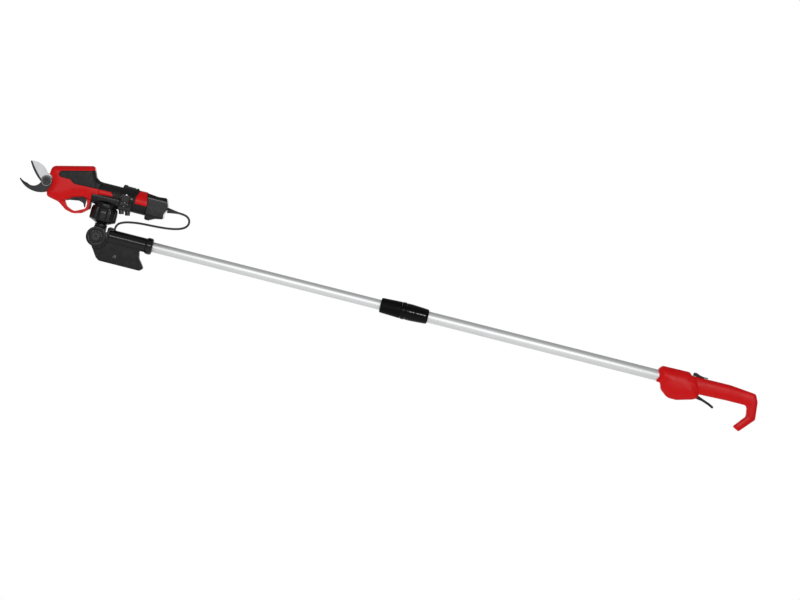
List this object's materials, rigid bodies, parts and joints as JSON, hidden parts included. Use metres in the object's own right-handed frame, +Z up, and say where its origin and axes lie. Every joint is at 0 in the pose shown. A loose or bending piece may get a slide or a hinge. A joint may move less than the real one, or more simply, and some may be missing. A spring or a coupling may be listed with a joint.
{
  "type": "telescopic pole pruner",
  "caption": "Cordless pruning shears clamped to the tilting and swivelling head of a two-section telescopic pole with a twist lock and a hooked trigger grip.",
  "frame": {"origin": "middle of the hand grip, on the axis of the pole", "axes": "+X along the pole from the cutting head to the hand grip, +Z up with the grip held level, -Y the side with the blade bolt's head"},
  "size_m": [1.6976, 0.06, 0.2164],
  "materials": {
    "red_plastic": "semi-gloss red moulded plastic",
    "black_plastic": "satin black moulded plastic",
    "black_grip": "soft black overmould",
    "tube_aluminium": "anodised satin",
    "blade_steel": "ground",
    "hook_steel": "blackened",
    "steel": "plain",
    "zinc_screw": "bright zinc",
    "black_bolt": "black oxide",
    "cable_black": "satin cable sheath",
    "board_green": "circuit board",
    "cell_wrap": "shrink wrap",
    "white_plastic": "natural nylon"
  },
  "bodies": {
    "handle": {"handle_shell_near": "red_plastic", "handle_shell_far": "red_plastic", "handle_screws": "black_bolt", "trigger_pin": "steel", "trigger_switch": "black_plastic", "hand_trigger_spring": "steel", "lock_off_spring": "steel", "outer_tube": "tube_aluminium", "lock_collet": "white_plastic", "lock_ring": "black_plastic", "lock_body": "black_plastic", "lead_lower": "cable_black", "curly_lead": "cable_black"},
    "hand_trigger": {"hand_trigger": "black_plastic"},
    "lock_off": {"lock_off_slider": "black_plastic"},
    "lock_nut": {"lock_nut": "black_plastic"},
    "upper_pole": {"inner_tube": "tube_aluminium", "tube_guide": "white_plastic", "lead_upper": "cable_black", "bracket_near": "black_plastic", "bracket_far": "black_plastic", "bracket_screws": "black_bolt", "sleeve_collar": "black_plastic", "cord_gland": "black_plastic", "tilt_bolt": "black_bolt", "tilt_nut": "black_bolt", "cord_lower": "cable_black"},
    "tilt_neck": {"tilt_neck": "black_plastic"},
    "swivel_knob": {"swivel_knob": "black_plastic"},
    "pruner": {"saddle": "black_plastic", "clamp_upper": "black_plastic", "clamp_lower": "black_plastic", "thumb_screws": "black_plastic", "clamp_screws": "zinc_screw", "red_shell_near": "red_plastic", "red_shell_far": "red_plastic", "side_panel_near": "black_grip", "side_panel_far": "black_grip", "grip_shell_near": "black_grip", "grip_shell_far": "black_grip", "release_band": "red_plastic", "battery_case": "black_plastic", "battery_cells": "cell_wrap", "motor": "steel", "gearbox": "steel", "angle_gearbox": "steel", "control_board": "board_green", "shell_screws": "black_bolt", "fixed_blade": "hook_steel", "pivot_bolt": "black_bolt", "pivot_nut": "steel", "pruner_trigger_pin": "steel", "pruner_trigger_spring": "steel", "cord_boot": "cable_black", "cord_upper": "cable_black"},
    "moving_blade": {"moving_blade": "blade_steel", "sector_gear": "steel"},
    "pinion": {"drive_pinion": "steel"},
    "pruner_trigger": {"pruner_trigger": "black_plastic"},
    "battery_latch": {"battery_latch": "black_plastic"}
  },
  "joints": [
    {"name": "pole_slide", "type": "slide", "parent": "handle", "child": "upper_pole", "axis": [1, 0, 0], "range_m": [0, 0.45], "deforming": ["curly_lead"]},
    {"name": "lock_nut_turn", "type": "hinge", "parent": "handle", "child": "lock_nut", "pos_m": [-0.756, 0, 0], "axis": [1, 0, 0], "range_deg": [0, 90]},
    {"name": "hand_trigger_pull", "type": "hinge", "parent": "handle", "child": "hand_trigger", "pos_m": [-0.064, 0, -0.024], "axis": [0, -1, 0], "range_deg": [0, 12], "stiffness_Nm_per_rad": 0.35, "springref_deg": -17.19, "deforming": ["hand_trigger_spring"]},
    {"name": "lock_off_slide", "type": "slide", "parent": "handle", "child": "lock_off", "axis": [1, 0, 0], "range_m": [0, 0.003], "stiffness_N_per_m": 400, "springref_m": -0.004, "deforming": ["lock_off_spring"]},
    {"name": "head_tilt", "type": "hinge", "parent": "upper_pole", "child": "tilt_neck", "pos_m": [-1.422, 0, -0.008], "axis": [0, -1, 0], "range_deg": [0, 75], "deforming": ["cord_lower", "cord_upper"]},
    {"name": "knob_turn", "type": "hinge", "parent": "tilt_neck", "child": "swivel_knob", "pos_m": [-1.418, 0, 0.04], "axis": [0, 0, 1], "range_deg": [0, 120]},
    {"name": "head_swivel", "type": "hinge", "parent": "tilt_neck", "child": "pruner", "pos_m": [-1.418, 0, 0.06], "axis": [0, 0, 1], "range_deg": [-45, 45], "deforming": ["cord_lower", "cord_upper"]},
    {"name": "blade_close", "type": "hinge", "parent": "pruner", "child": "moving_blade", "pos_m": [-1.558, 0, 0.084], "axis": [0, -1, 0], "range_deg": [0, 48]},
    {"name": "pinion_spin", "type": "hinge", "parent": "pruner", "child": "pinion", "pos_m": [-1.53, 0, 0.084], "axis": [0, -1, 0], "range_deg": [-180, 0]},
    {"name": "pruner_trigger_pull", "type": "hinge", "parent": "pruner", "child": "pruner_trigger", "pos_m": [-1.501, 0, 0.0605], "axis": [0, -1, 0], "range_deg": [0, 7], "stiffness_Nm_per_rad": 0.2, "springref_deg": -17.19, "deforming": ["pruner_trigger_spring"]},
    {"name": "battery_latch_press", "type": "slide", "parent": "pruner", "child": "battery_latch", "axis": [0, 0, 1], "range_m": [0, 0.002], "stiffness_N_per_m": 500, "springref_m": -0.003}
  ],
  "couplings": [
    {"joint": "pinion_spin", "follows": "blade_close", "ratio": -3.6667}
  ]
}
